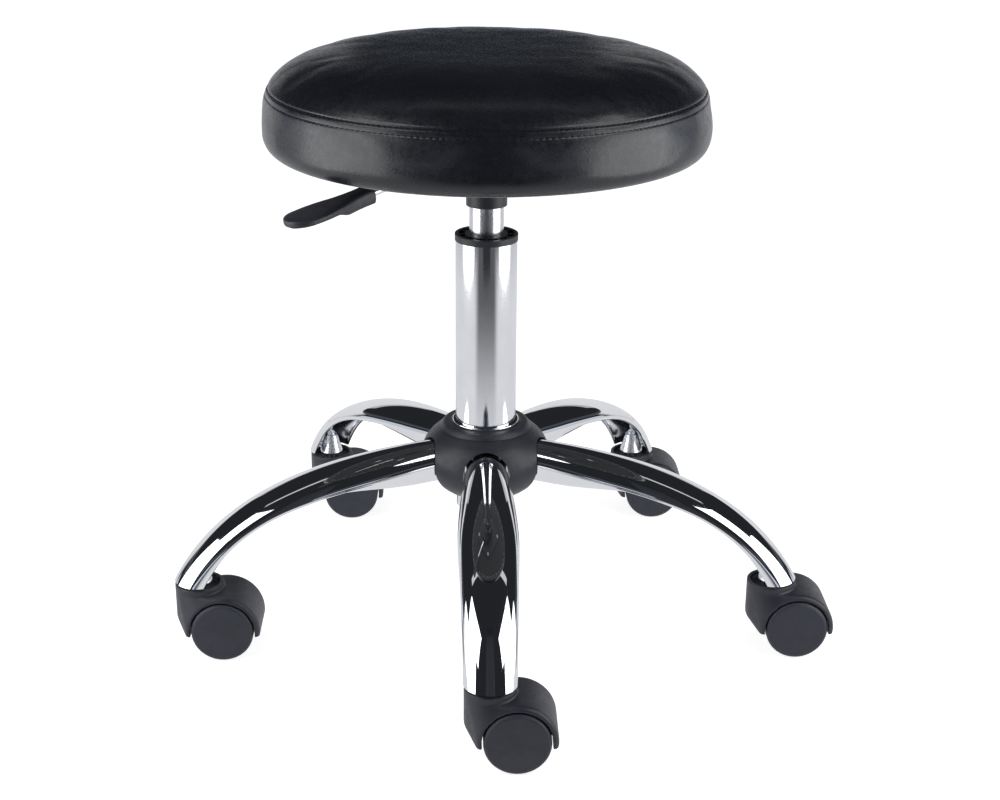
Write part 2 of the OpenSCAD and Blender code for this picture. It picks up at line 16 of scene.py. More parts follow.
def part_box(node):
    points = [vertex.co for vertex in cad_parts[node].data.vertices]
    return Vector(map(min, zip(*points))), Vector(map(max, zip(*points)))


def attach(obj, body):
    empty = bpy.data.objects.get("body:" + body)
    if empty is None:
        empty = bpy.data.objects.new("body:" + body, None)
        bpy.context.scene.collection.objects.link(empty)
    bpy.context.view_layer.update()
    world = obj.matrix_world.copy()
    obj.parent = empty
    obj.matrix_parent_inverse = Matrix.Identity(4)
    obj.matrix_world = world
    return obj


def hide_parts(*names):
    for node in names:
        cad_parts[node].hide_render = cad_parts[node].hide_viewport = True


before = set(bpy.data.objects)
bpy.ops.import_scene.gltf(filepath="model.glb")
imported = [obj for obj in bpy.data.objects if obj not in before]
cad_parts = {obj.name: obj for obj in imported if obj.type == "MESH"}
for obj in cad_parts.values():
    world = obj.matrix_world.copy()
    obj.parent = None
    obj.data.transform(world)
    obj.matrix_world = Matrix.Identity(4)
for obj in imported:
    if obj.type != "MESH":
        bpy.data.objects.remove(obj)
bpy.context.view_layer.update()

MM = 0.001
LEGS = range(1, 6)

# ---- Camera and studio ----

CAMERA_PLACE = (-0.02473, -1.352, 0.70526)
CAMERA_DOWN = math.radians(20.935)
CAMERA_TURN = math.radians(-1.5525)
CAMERA_ROLL = math.radians(0.477)
CAMERA_LENS = 62.809

# What reflections see above the horizon: (elevation in degrees, brightness)
ROOM = ((0, 0.75), (2, 0.75), (3.5, 0.025), (8, 0.025), (9.5, 0.09), (14, 0.08), (16, 0.022),
        (90, 0.022))
ROOM_TINT = (0.78, 0.86, 1.0)
FLOOR_GLOW = 0.76          # brightness of the floor in reflections
SHADE_HALF_ANGLE = math.radians(40)     # the floor darkens towards the camera
PANEL_TURN, PANEL_AWAY = math.radians(71), 0.92     # side panels: angle off the front, distance
KEY_TURN, KEY_AWAY = math.radians(62), 1.3
NOT_CAMERA = ("glossy", "diffuse", "shadow", "transmission", "volume_scatter")
NOT_GLOSSY = ("camera", "diffuse", "shadow", "transmission", "volume_scatter")


def make_camera():
    data = bpy.data.cameras.new("camera")
    data.lens = CAMERA_LENS
    data.sensor_width = 36
    camera = bpy.data.objects.new("camera", data)
    aim = Euler((math.pi / 2 - CAMERA_DOWN, 0, CAMERA_TURN)).to_matrix().to_4x4()
    camera.matrix_world = (Matrix.Translation(CAMERA_PLACE) @ aim
                           @ Matrix.Rotation(CAMERA_ROLL, 4, "Z"))
    bpy.context.collection.objects.link(camera)
    bpy.context.scene.camera = camera


def softbox(name, place, aim, size, radiance, glossy=True):
    """A rectangular lamp that faces the point aim. radiance is how bright its face looks."""
    data = bpy.data.lights.new(name, "AREA")
    data.shape = "RECTANGLE"
    data.size, data.size_y = size
    data.energy = radiance * math.pi * size[0] * size[1]
    lamp = bpy.data.objects.new(name, data)
    lamp.location = place
    lamp.rotation_euler = (Vector(aim) - Vector(place)).to_track_quat("-Z", "Y").to_euler()
    lamp.visible_camera = False
    lamp.visible_glossy = glossy
    bpy.context.collection.objects.link(lamp)


def make_world():
    """White behind the object, and a dark room with a few bright levels in reflections."""
    world = bpy.data.worlds.new("studio")
    bpy.context.scene.world = world
    world.use_nodes = True
    nodes, links = world.node_tree.nodes, world.node_tree.links
    room = nodes["Background"]
    output = nodes["World Output"]
    paper = nodes.new("ShaderNodeBackground")
    paper.inputs["Color"].default_value = (1, 1, 1, 1)
    mix = nodes.new("ShaderNodeMixShader")
    rays = nodes.new("ShaderNodeLightPath")
    place = nodes.new("ShaderNodeTexCoord")
    split = nodes.new("ShaderNodeSeparateXYZ")
    ramp = nodes.new("ShaderNodeValToRGB")
    stops = ramp.color_ramp.elements
    for elevation, light in ROOM[1:-1]:
        stops.new(math.sin(math.radians(elevation)))
    for stop, (elevation, light) in zip(stops, ROOM):
        stop.position = math.sin(math.radians(elevation))
        stop.color = (*(light * tint for tint in ROOM_TINT), 1)
    links.new(place.outputs["Generated"], split.inputs["Vector"])
    links.new(split.outputs["Z"], ramp.inputs["Fac"])
    links.new(ramp.outputs["Color"], room.inputs["Color"])
    links.new(rays.outputs["Is Camera Ray"], mix.inputs["Fac"])
    links.new(room.outputs["Background"], mix.inputs[1])
    links.new(paper.outputs["Background"], mix.inputs[2])
    links.new(mix.outputs["Shader"], output.inputs["Surface"])


def studio_card(name, corners, material, unseen_by):
    """A four-cornered card of the studio, hidden from the kinds of ray in unseen_by."""
    mesh = bpy.data.meshes.new(name)
    mesh.from_pydata(corners, [], [(0, 1, 2, 3)])
    mesh.materials.append(material)
    card = bpy.data.objects.new(name, mesh)
    bpy.context.collection.objects.link(card)
    for kind in unseen_by:
        setattr(card, "visible_" + kind, False)


def level_corners(half, z):
    return [(-half, -half, z), (half, -half, z), (half, half, z), (-half, half, z)]


def upright_corners(half, y, top):
    return [(-half, y, 0), (half, y, 0), (half, y, top), (-half, y, top)]


class GlowingPaper:
    """A glowing material with the few node helpers that its light pattern needs."""

    def __init__(self, name, colour):
        self.material = bpy.data.materials.new(name)
        self.material.use_nodes = True
        self.nodes = self.material.node_tree.nodes
        self.links = self.material.node_tree.links
        self.shader = self.nodes["Principled BSDF"]
        self.shader.inputs["Base Color"].default_value = (*colour, 1)
        self.shader.inputs["Roughness"].default_value = 0.9
        self.shader.inputs["Specular IOR Level"].default_value = 0
        self.shader.inputs["Emission Color"].default_value = (0.965, 0.975, 1, 1)
        self.place = self.nodes.new("ShaderNodeTexCoord").outputs["Object"]

    def maths(self, operation, *values):
        node = self.nodes.new("ShaderNodeMath")
        node.operation = operation
        for socket, value in zip(node.inputs, values):
            if isinstance(value, (int, float)):
                socket.default_value = value
            else:
                self.links.new(value, socket)
        return node.outputs["Value"]

    def fade(self, value, start, end, low, high):
        """Runs smoothly from low to high as value runs from start to end."""
        node = self.nodes.new("ShaderNodeMapRange")
        node.interpolation_type = "SMOOTHSTEP"
        for socket, number in (("From Min", start), ("From Max", end), ("To Min", low),
                               ("To Max", high)):
            node.inputs[socket].default_value = number
        self.links.new(value, node.inputs["Value"])
        return node.outputs["Result"]

    def from_axis(self):
        node = self.nodes.new("ShaderNodeVectorMath")
        node.operation = "LENGTH"
        self.links.new(self.place, node.inputs[0])
        return node.outputs["Value"]

    def axis(self, name):
        split = self.nodes.new("ShaderNodeSeparateXYZ")
        self.links.new(self.place, split.inputs["Vector"])
        return split.outputs[name]

    def off_front(self):
        """Angle from the direction of the camera, either way."""
        back = self.maths("MULTIPLY", self.axis("Y"), -1.0)
        return self.maths("ABSOLUTE", self.maths("ARCTAN2", self.axis("X"), back))

    def glow(self, value):
        self.links.new(value, self.shader.inputs["Emission Strength"])


def make_floor():
    """The camera sees white paper with faint contact shadows. Reflections see a duller
    floor that darkens towards the camera."""
    seen = GlowingPaper("floor_paper", (0.6, 0.6, 0.6))
    seen.shader.inputs["Emission Color"].default_value = (1, 1, 1, 1)
    seen.glow(seen.fade(seen.from_axis(), 0.35, 0.9, 0.8, 1.0))
    studio_card("floor", level_corners(6, -0.0004), seen.material, NOT_CAMERA)
    mirrored = GlowingPaper("floor_bounce", (0.02, 0.02, 0.02))
    near = mirrored.fade(mirrored.from_axis(), 0.3, 0.95, 0, 0.87)
    front = mirrored.fade(mirrored.off_front(), SHADE_HALF_ANGLE - 0.25,
                          SHADE_HALF_ANGLE + 0.12, 1, 0)
    away = mirrored.fade(mirrored.from_axis(), 0.95, 1.25, 0, 0.9)
    ahead = mirrored.fade(mirrored.off_front(), 1.25, 1.75, 1, 0.25)
    shade = mirrored.maths("MAXIMUM", mirrored.maths("MULTIPLY", near, front),
                           mirrored.maths("MULTIPLY", away, ahead))
    mirrored.glow(mirrored.maths("MULTIPLY", mirrored.maths("SUBTRACT", 1.0, shade),
                                 FLOOR_GLOW))
    studio_card("floor_bounce", level_corners(3, -0.0008), mirrored.material,
                ("camera", "shadow"))


def make_low_backdrop():
    """The lit foot of the paper behind the stool, which only reflections see."""
    paper = GlowingPaper("backdrop_foot", (0.02, 0.02, 0.02))
    half = 1.8
    paper.glow(paper.fade(paper.maths("ABSOLUTE", paper.axis("X")), 1.2, half, FLOOR_GLOW, 0))
    studio_card("backdrop_foot", upright_corners(half, 1, 0.44), paper.material, NOT_GLOSSY)


def make_camera_stand():
    """A dark stand in front of the camera, which only reflections see."""
    felt = bpy.data.materials.new("stand_felt")
    felt.use_nodes = True
    shader = felt.node_tree.nodes["Principled BSDF"]
    shader.inputs["Base Color"].default_value = (0.02, 0.022, 0.028, 1)
    studio_card("camera_stand", upright_corners(0.24, -1, 2.2), felt, NOT_GLOSSY)


def beside(side, turn, away):
    """Place at a distance from the axis, turned from the front to one side."""
    return side * away * math.sin(turn), -away * math.cos(turn)


def make_studio():
    bpy.context.scene.view_settings.view_transform = "Standard"
    make_world()
    make_floor()
    for side, name in ((-1, "left"), (1, "right")):
        # A tall panel beside the stool, whose top half nothing mirrors, and a key box
        # leaning in over the front
        x, y = beside(side, PANEL_TURN, PANEL_AWAY)
        softbox(f"{name}_panel", (x, y, 0.34), (0, 0, 0.34), (0.85, 0.64), 2.4)
        softbox(f"{name}_panel_top", (x, y, 0.94), (0, 0, 0.94), (0.85, 0.56), 2.4, glossy=False)
        softbox(f"{name}_key", (*beside(side, KEY_TURN, KEY_AWAY), 1.38), (0, 0, 0.25),
                (1.1, 0.75), 2.5)
        softbox(f"{name}_backdrop", (side * 0.85, 2.3, 0.8), (0, 0, 0.45), (1.1, 0.42), 0.45)
    softbox("overhead", (0, -0.2, 1.9), (0, 0, 0.25), (1.6, 1.4), 1.0, glossy=False)
    softbox("strip_above", (0, 0.28, 2.0), (0, 0.28, 0), (2.6, 0.16), 0.6)
    make_low_backdrop()
    make_camera_stand()


# ---- Finishes ----

class Finish:
    """A Principled material, with the few helpers that its detail nodes need."""

    def __init__(self, name, colour, roughness, **sockets):
        self.material = bpy.data.materials.new(name)
        self.material.use_nodes = True
        self.nodes = self.material.node_tree.nodes
        self.links = self.material.node_tree.links
        self.shader = self.nodes["Principled BSDF"]
        self.place = self.nodes.new("ShaderNodeTexCoord").outputs["Object"]
        self.last_bump = None
        self.shader.inputs["Base Color"].default_value = (*colour, 1)
        self.shader.inputs["Roughness"].default_value = roughness
        for socket, value in sockets.items():
            self.shader.inputs[socket.replace("_", " ")].default_value = value

    def stretched(self, stretch):
        """The place vector scaled along each axis."""
        if stretch == (1, 1, 1):
            return self.place
        node = self.nodes.new("ShaderNodeMapping")
        node.inputs["Scale"].default_value = stretch
        self.links.new(self.place, node.inputs["Vector"])
        return node.outputs["Vector"]

    def grain(self, size, detail=3, rough=0.55, twist=0.0, stretch=(1, 1, 1)):
        """Noise from 0 to 1 whose lumps are about size metres across."""
        node = self.nodes.new("ShaderNodeTexNoise")
        node.inputs["Scale"].default_value = 1 / size
        node.inputs["Detail"].default_value = detail
        node.inputs["Roughness"].default_value = rough
        node.inputs["Distortion"].default_value = twist
        self.links.new(self.stretched(stretch), node.inputs["Vector"])
        return node.outputs["Fac"]

    def pebbles(self, size, feature="SMOOTH_F1", stretch=(1, 1, 1)):
        """Distance from the middle of each cell, for cells about size metres across."""
        node = self.nodes.new("ShaderNodeTexVoronoi")
        node.feature = feature
        node.inputs["Scale"].default_value = 1 / size
        self.links.new(self.stretched(stretch), node.inputs["Vector"])
        return node.outputs["Distance"]

    def bands(self, size, axis="Z", twist=0.0, stretch=(1, 1, 1)):
        """Straight bands about size metres apart."""
        node = self.nodes.new("ShaderNodeTexWave")
        node.bands_direction = axis
        node.inputs["Scale"].default_value = 1 / (size * 3.14)
        node.inputs["Distortion"].default_value = twist
        self.links.new(self.stretched(stretch), node.inputs["Vector"])
        return node.outputs["Fac"]

    def remap(self, value, low, high, start=0.3, end=0.7):
        node = self.nodes.new("ShaderNodeMapRange")
        for socket, number in (("From Min", start), ("From Max", end), ("To Min", low),
                               ("To Max", high)):
            node.inputs[socket].default_value = number
        self.links.new(value, node.inputs["Value"])
        return node.outputs["Result"]

    def tones(self, value, dark, light, start=0.3, end=0.7):
        """Base colour that runs from dark to light with value."""
        node = self.nodes.new("ShaderNodeValToRGB")
        low, high = node.color_ramp.elements
        low.position, low.color = start, (*dark, 1)
        high.position, high.color = end, (*light, 1)
        self.links.new(value, node.inputs["Fac"])
        self.links.new(node.outputs["Color"], self.shader.inputs["Base Color"])

    def gloss(self, value, low, high, start=0.3, end=0.7):
        """Roughness that runs from low to high with value."""
        self.links.new(self.remap(value, low, high, start, end), self.shader.inputs["Roughness"])

    def relief(self, value, depth, strength=1.0):
        """Adds a bump whose full height is depth metres."""
        node = self.nodes.new("ShaderNodeBump")
        node.inputs["Distance"].default_value = depth
        node.inputs["Strength"].default_value = strength
        self.links.new(value, node.inputs["Height"])
        if self.last_bump:
            self.links.new(self.last_bump, node.inputs["Normal"])
        self.last_bump = node.outputs["Normal"]
        self.links.new(self.last_bump, self.shader.inputs["Normal"])


def chrome():
    finish = Finish("chrome", (0.86, 0.87, 0.89), 0.03, Metallic=1.0)
    finish.tones(finish.grain(0.05), (0.84, 0.85, 0.875), (0.89, 0.895, 0.905))
    finish.gloss(finish.grain(0.012, detail=6), 0.02, 0.055)
    finish.relief(finish.grain(0.03, detail=2), 0.00003, 0.25)
    return finish.material


def satin_chrome(name, low, high, size):
    """Plated steel over a fine turned or rolled skin, so that its reflections blur a little."""
    finish = Finish(name, (0.84, 0.85, 0.88), low, Metallic=1.0)
    finish.tones(finish.grain(0.03), (0.8, 0.81, 0.845), (0.87, 0.88, 0.9))
    finish.gloss(finish.grain(size, detail=6), low, high)
    finish.relief(finish.grain(size, detail=4), 0.00004, 0.35)
    return finish.material


def zinc_plate():
    finish = Finish("zinc_plate", (0.6, 0.65, 0.7), 0.3, Metallic=1.0)
    finish.tones(finish.grain(0.006), (0.52, 0.57, 0.62), (0.68, 0.74, 0.8))
    finish.gloss(finish.grain(0.002, detail=5), 0.2, 0.38)
    finish.relief(finish.grain(0.0008), 0.00003, 0.5)
    return finish.material


def bare_steel():
    finish = Finish("bare_steel", (0.5, 0.5, 0.52), 0.35, Metallic=1.0)
    finish.tones(finish.grain(0.01, stretch=(1, 1, 6)), (0.42, 0.42, 0.43), (0.56, 0.56, 0.58))
    finish.gloss(finish.grain(0.003, stretch=(1, 1, 8)), 0.25, 0.42)
    finish.relief(finish.grain(0.0006, stretch=(1, 1, 8)), 0.00002, 0.5)
    return finish.material


def black_paint():
    finish = Finish("black_paint", (0.018, 0.018, 0.02), 0.38)
    finish.tones(finish.grain(0.02), (0.015, 0.015, 0.017), (0.024, 0.024, 0.027))
    finish.gloss(finish.grain(0.006), 0.32, 0.46)
    finish.relief(finish.grain(0.0022, detail=2), 0.00006, 0.5)
    return finish.material


def moulded_nylon(name, dark, light, low, high):
    """Satin moulded plastic with a fine spark-eroded skin and faint flow marks."""
    finish = Finish(name, light, high)
    finish.tones(finish.grain(0.018, twist=0.6), dark, light)
    finish.gloss(finish.grain(0.004, detail=5), low, high)
    finish.relief(finish.grain(0.00055, detail=2), 0.00005, 0.45)
    finish.relief(finish.grain(0.012, detail=1), 0.00008, 0.2)
    return finish.material


def black_rubber():
    finish = Finish("black_rubber", (0.015, 0.015, 0.015), 0.7)
    finish.tones(finish.grain(0.01), (0.012, 0.012, 0.012), (0.022, 0.022, 0.022))
    finish.relief(finish.grain(0.0008), 0.00005, 0.5)
    return finish.material


def brass():
    finish = Finish("brass", (0.72, 0.5, 0.22), 0.28, Metallic=1.0)
    finish.tones(finish.grain(0.006), (0.6, 0.41, 0.17), (0.76, 0.55, 0.26))
    finish.gloss(finish.grain(0.002), 0.2, 0.36)
    finish.relief(finish.grain(0.0006), 0.00002, 0.4)
    return finish.material


def plywood():
    finish = Finish("plywood", (0.5, 0.34, 0.18), 0.6)
    finish.tones(finish.grain(0.02, detail=6, twist=1.5, stretch=(0.25, 1, 14)),
                 (0.36, 0.22, 0.11), (0.6, 0.43, 0.25))
    finish.gloss(finish.grain(0.01), 0.5, 0.72)
    finish.relief(finish.grain(0.0015, stretch=(0.1, 1, 1)), 0.00015, 0.6)
    return finish.material


def black_vinyl():
    """Upholstery vinyl: shallow pebbles with fine creases between them, and rubbed-in tone."""
    finish = Finish("black_vinyl", (0.011, 0.012, 0.015), 0.3, Specular_IOR_Level=0.6)
    finish.tones(finish.grain(0.035, detail=5, twist=0.8), (0.0045, 0.0053, 0.0078),
                 (0.0075, 0.0086, 0.0122))
    finish.gloss(finish.grain(0.0045, detail=6), 0.22, 0.34)
    finish.relief(finish.pebbles(0.0014), 0.00016, 0.4)
    finish.relief(finish.grain(0.0011, detail=2, twist=1.2), 0.0001, 0.35)
    finish.relief(finish.grain(0.02, detail=2), 0.00025, 0.2)
    return finish.material


def seam_thread():
    finish = Finish("seam_thread", (0.005, 0.005, 0.006), 0.75, Specular_IOR_Level=0.3)
    finish.tones(finish.grain(0.004), (0.003, 0.003, 0.004), (0.007, 0.007, 0.009))
    finish.relief(finish.bands(0.0004, axis="DIAGONAL"), 0.00008, 0.7)
    return finish.material


def foam():
    finish = Finish("foam", (0.62, 0.55, 0.36), 0.95)
    finish.tones(finish.grain(0.01), (0.54, 0.47, 0.3), (0.66, 0.59, 0.4))
    finish.relief(finish.pebbles(0.0012, "F1"), 0.0006, 0.8)
    return finish.material


def dust_cloth():
    """Thin black non-woven cloth with its grid of bonded points."""
    finish = Finish("dust_cloth", (0.02, 0.02, 0.021), 0.9, Sheen_Weight=0.2)
    finish.tones(finish.grain(0.006, detail=6), (0.013, 0.013, 0.014), (0.03, 0.03, 0.032))
    finish.relief(finish.bands(0.0016, axis="X"), 0.0001, 0.5)
    finish.relief(finish.bands(0.0016, axis="Y"), 0.0001, 0.5)
    finish.relief(finish.grain(0.0006, detail=5), 0.00012, 0.6)
    return finish.material


LOOKS = {
    "chrome": chrome(),
    "zinc_plate": zinc_plate(),
    "bare_steel": bare_steel(),
    "black_paint": black_paint(),
    "black_nylon": moulded_nylon("black_nylon", (0.017, 0.018, 0.025), (0.024, 0.025, 0.034),
                                 0.36, 0.5),
    "wheel_nylon": moulded_nylon("wheel_nylon", (0.019, 0.021, 0.031), (0.026, 0.028, 0.041),
                                 0.42, 0.56),
    "black_rubber": black_rubber(),
    "brass": brass(),
    "plywood": plywood(),
    "black_vinyl": black_vinyl(),
    "foam": foam(),
    "dust_cloth": dust_cloth(),
}
THREAD = seam_thread()
OWN_LOOKS = {
    "column_tube": satin_chrome("column_chrome", 0.05, 0.13, 0.0012),
    "gas_cylinder": satin_chrome("cylinder_chrome", 0.16, 0.26, 0.0012),
    "stem_sockets": satin_chrome("socket_chrome", 0.2, 0.34, 0.0006),
}


def finish_cad_nodes():
    """Every carried-over node's slots get the finish that their slot name asks for."""
    for name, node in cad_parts.items():
        for place in node.material_slots:
            place.material = OWN_LOOKS.get(name) or LOOKS[place.material.name.split(".")[0]]


# ---- Mesh helpers ----

SHARP = math.radians(38)


def make_object(name, verts, faces):
    mesh = bpy.data.meshes.new(name)
    mesh.from_pydata([tuple(v) for v in verts], [], faces)
    mesh.validate()
    mesh.shade_smooth()
    mesh.set_sharp_from_angle(angle=SHARP)
    obj = bpy.data.objects.new(name, mesh)
    bpy.context.collection.objects.link(obj)
    return obj


def place_piece(obj, body, slot, material, *replaced):
    """Gives a finished piece its material and its body, and hides the CAD nodes it stands for."""
    if not obj.data.materials:
        obj.data.materials.append(material)
    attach(obj, body)
    if replaced:
        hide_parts(*replaced)
    return obj


def strip(a, b):
    """Faces between two closed rings of vertex numbers. One may have twice the other's
    count, and either may be a single point."""
    n, m = len(a), len(b)
    if n == 1:
        return [(a[0], b[k], b[(k + 1) % m]) for k in range(m)]
    if m == 1:
        return [(a[k], b[0], a[(k + 1) % n]) for k in range(n)]
    faces = []
    for k in range(min(n, m)):
        if n == m:
            j = (k + 1) % n
            faces.append((a[k], b[k], b[j], a[j]))
        elif m == 2 * n:
            j, mid, far = (k + 1) % n, 2 * k + 1, (2 * k + 2) % m
            faces += [(a[k], b[2 * k], b[mid]), (a[k], b[mid], a[j]), (a[j], b[mid], b[far])]
        else:
            j, mid, far = (k + 1) % m, 2 * k + 1, (2 * k + 2) % n
            faces += [(a[2 * k], b[k], a[mid]), (a[mid], b[k], b[j]), (a[mid], b[j], a[far])]
    return faces


def skin(ring_lengths):
    """Faces of a skin through consecutive rings of the given lengths."""
    rings, start = [], 0
    for count in ring_lengths:
        rings.append(range(start, start + count))
        start += count
    return [face for a, b in zip(rings, rings[1:]) for face in strip(a, b)]


def ease(u):
    v = min(1, max(0, u))
    return v * v * (3 - 2 * v)


def bell(x, width):
    return np.exp(-(x / width) ** 2)


# ---- Legs ----

LEG_CROWN = np.array([(30, 157.7), (146, 156), (228, 126), (264.5, 62.3)])
LEG_WIDTHS = (34.6, 43.5, 47.6, 44.0, 41.3, 40.2)
LEG_DEPTHS = (17.3, 18.0, 14.2, 11.6, 12.6, 18.6)
TUBE_D = 34.6
PRESSED_T = 3.0
SHEET_T = 1.2
PRESS_START, PRESS_END = 0.08, 0.60
TURN_START = 0.72
COPE_R = 30.12
LEG_STATIONS = 150
ARC_STEPS = 44
LIP_STEPS = 8


def through(keys, s):
    """Smooth curve through evenly spaced keys, level at both ends."""
    n = len(keys) - 1
    i = min(n - 1, int(s * n))
    u = s * n - i
    a, b = keys[abs(i - 1)], keys[i]
    c, d = keys[i + 1], keys[n - 1 if i + 2 > n else i + 2]
    return b + ((c - a) * u + (2 * a - 5 * b + 4 * c - d) * u ** 2
                + (3 * b - a - 3 * c + d) * u ** 3) / 2


def section_loop(half_top, half_low, top_depth, low_depth, inset):
    """Closed loop of [across, down]: crown arc, rolled lip, underside and the other lip."""
    turn = np.linspace(0, math.pi, ARC_STEPS + 1)
    crown = np.stack([half_top * np.cos(turn), inset + top_depth * (1 - np.sin(turn))], 1)
    under = np.stack([half_low * np.cos(turn), inset + top_depth - low_depth * np.sin(turn)], 1)
    roll = np.linspace(0, math.pi, LIP_STEPS + 1)[1:-1]
    lip_r = (half_top - half_low) / 2
    lip = np.stack([(half_top + half_low) / 2 + lip_r * np.cos(roll),
                    inset + top_depth + lip_r * np.sin(roll)], 1)
    mirrored = lip * (-1, 1)
    return np.concatenate([crown, mirrored, under[::-1], lip[::-1]])


def leg_section(s, inner):
    half, depth = through(LEG_WIDTHS, s) / 2, through(LEG_DEPTHS, s)
    pressed = ease((s - PRESS_START) / (PRESS_END - PRESS_START))
    thick = TUBE_D + (PRESSED_T - TUBE_D) * pressed
    if inner:
        return section_loop(half - SHEET_T, half - SHEET_T - 0.1 - 0.5 * pressed,
                            depth - SHEET_T, depth - thick + SHEET_T, SHEET_T)
    lip = 0.1 + (PRESSED_T - 0.1) * pressed
    return section_loop(half, half - lip, depth, depth - thick, 0)


def leg_ring(s, inner):
    """One section in place, for a leg along +X."""
    across, down = leg_section(s, inner).T
    if s == 0:
        return np.stack([np.sqrt(COPE_R ** 2 - across ** 2), across,
                         LEG_CROWN[0][1] - down], 1)
    weights = np.array([(1 - s) ** 3, 3 * (1 - s) ** 2 * s, 3 * (1 - s) * s ** 2, s ** 3])
    centre = weights @ LEG_CROWN
    step = np.diff(LEG_CROWN, axis=0)
    way = (1 - s) ** 2 * step[0] + 2 * (1 - s) * s * step[1] + s ** 2 * step[2]
    slope = math.atan2(-way[1], way[0])
    tilt = slope + (math.pi / 2 - slope) * ease((s - TURN_START) / (1 - TURN_START))
    return np.stack([centre[0] - down * math.sin(tilt), across,
                     centre[1] - down * math.cos(tilt)], 1)


def make_legs():
    """Five pressed tubes, each with its outside and inside."""
    shares = np.linspace(0, 1, LEG_STATIONS + 1)
    rings = [leg_ring(s, False) for s in shares] + [leg_ring(s, True) for s in shares[::-1]]
    verts = np.concatenate(rings) * MM
    n = len(rings[0])
    count = len(rings)
    faces = []
    for k in range(count):
        a, b = k * n, ((k + 1) % count) * n
        faces += [(a + j, a + (j + 1) % n, b + (j + 1) % n, b + j) for j in range(n)]
    for i in LEGS:
        turned = verts @ np.array(Matrix.Rotation(stem_angle(i), 3, "Z")).T
        leg = make_object(f"leg_skin_{i}", turned, faces)
        place_piece(leg, "base", "chrome", LOOKS["chrome"], f"leg_{i}")


def stem_angle(i):
    return math.radians(-90 + 72 * (i - 1))


# ---- Casters ----

HOOD_R = 30.2
HOOD_W = 48
HOOD_EDGE = 4
HOOD_END_Z = 20.5
OPENING_R = 26
CUP_R = 19.5
CUP_BOTTOM_Z = 21
CUP_ROUND = 11
CUP_TOP_Z = 60
CUP_FLOOR_Z = 55.5
WEB_T = 8
BOSS_R = 7.5
STEM_R = 5
STEM_LOW_Z = 31
AXLE_R = 3
AXLE_Z = 25
TRAIL = 19.5


def drum(name, radius, low, high, centre=(0, 0), along_y=False, sides=128):
    """Closed cylinder in millimetres, along Z or along Y."""
    turn = np.linspace(0, 2 * math.pi, sides, endpoint=False)
    ring = np.stack([radius * np.cos(turn), radius * np.sin(turn)], 1)
    ends = []
    for level in (low, high):
        flat = np.column_stack([ring[:, 0], ring[:, 1], np.full(sides, level)])
        if along_y:
            flat = flat[:, [0, 2, 1]]
        ends.append(flat + ((centre[0], 0, centre[1]) if along_y else (*centre, 0)))
    verts = np.concatenate(ends) * MM
    faces = [tuple(range(sides))[::-1], tuple(range(sides, 2 * sides))]
    faces += [(k, (k + 1) % sides, sides + (k + 1) % sides, sides + k) for k in range(sides)]
    obj = make_object(name, verts, faces)
    mesh = bmesh.new()
    mesh.from_mesh(obj.data)
    bmesh.ops.recalc_face_normals(mesh, faces=mesh.faces)
    mesh.to_mesh(obj.data)
    mesh.free()
    return obj


def hood_hull():
    """The cup and the disc over the wheels, joined by their common hull."""
    points = []
    turn = np.linspace(0, 2 * math.pi, 96, endpoint=False)
    cup = [(CUP_R - CUP_ROUND + CUP_ROUND * math.cos(a), CUP_BOTTOM_Z + CUP_ROUND
            + CUP_ROUND * math.sin(a)) for a in np.linspace(-math.pi / 2, 0, 9)]
    cup.append((CUP_R, AXLE_Z + HOOD_R - 0.5))
    for r, z in cup:
        points += [(r * math.cos(a), r * math.sin(a), z) for a in turn]
    edge = [(HOOD_R - HOOD_EDGE + HOOD_EDGE * math.cos(a), HOOD_W / 2 - HOOD_EDGE
             + HOOD_EDGE * math.sin(a)) for a in np.linspace(0, math.pi / 2, 9)]
    lowest = HOOD_END_Z - AXLE_Z
    for r, y in edge:
        cut = math.asin(lowest / r)
        for a in np.linspace(cut, math.pi - cut, 97):
            x, z = TRAIL + r * math.cos(a), AXLE_Z + r * math.sin(a)
            points += [(x, y, z), (x, -y, z)]
    mesh = bmesh.new()
    for p in points:
        mesh.verts.new([c * MM for c in p])
    hull = bmesh.ops.convex_hull(mesh, input=mesh.verts)
    unused = {v for v in hull["geom_interior"] + hull["geom_unused"]
              if isinstance(v, bmesh.types.BMVert)}
    bmesh.ops.delete(mesh, geom=list(unused), context="VERTS")
    bmesh.ops.recalc_face_normals(mesh, faces=mesh.faces)
    data = bpy.data.meshes.new("hood")
    mesh.to_mesh(data)
    mesh.free()
    obj = bpy.data.objects.new("hood", data)
    bpy.context.collection.objects.link(obj)
    return obj


def applied(obj):
    """The object's mesh with its modifiers applied, and the object itself removed."""
    graph = bpy.context.evaluated_depsgraph_get()
    data = bpy.data.meshes.new_from_object(obj.evaluated_get(graph))
    bpy.data.objects.remove(obj)
    return data


def cut(obj, cutters, operation="DIFFERENCE"):
    """The object with each cutter taken away from it, or joined to it."""
    for cutter in cutters:
        step = obj.modifiers.new(cutter.name, "BOOLEAN")
        step.solver = "EXACT"
        step.operation = operation
        step.object = cutter
    name = obj.name
    data = applied(obj)
    for cutter in cutters:
        bpy.data.objects.remove(cutter)
    result = bpy.data.objects.new(name, data)
    bpy.context.collection.objects.link(result)
    return result


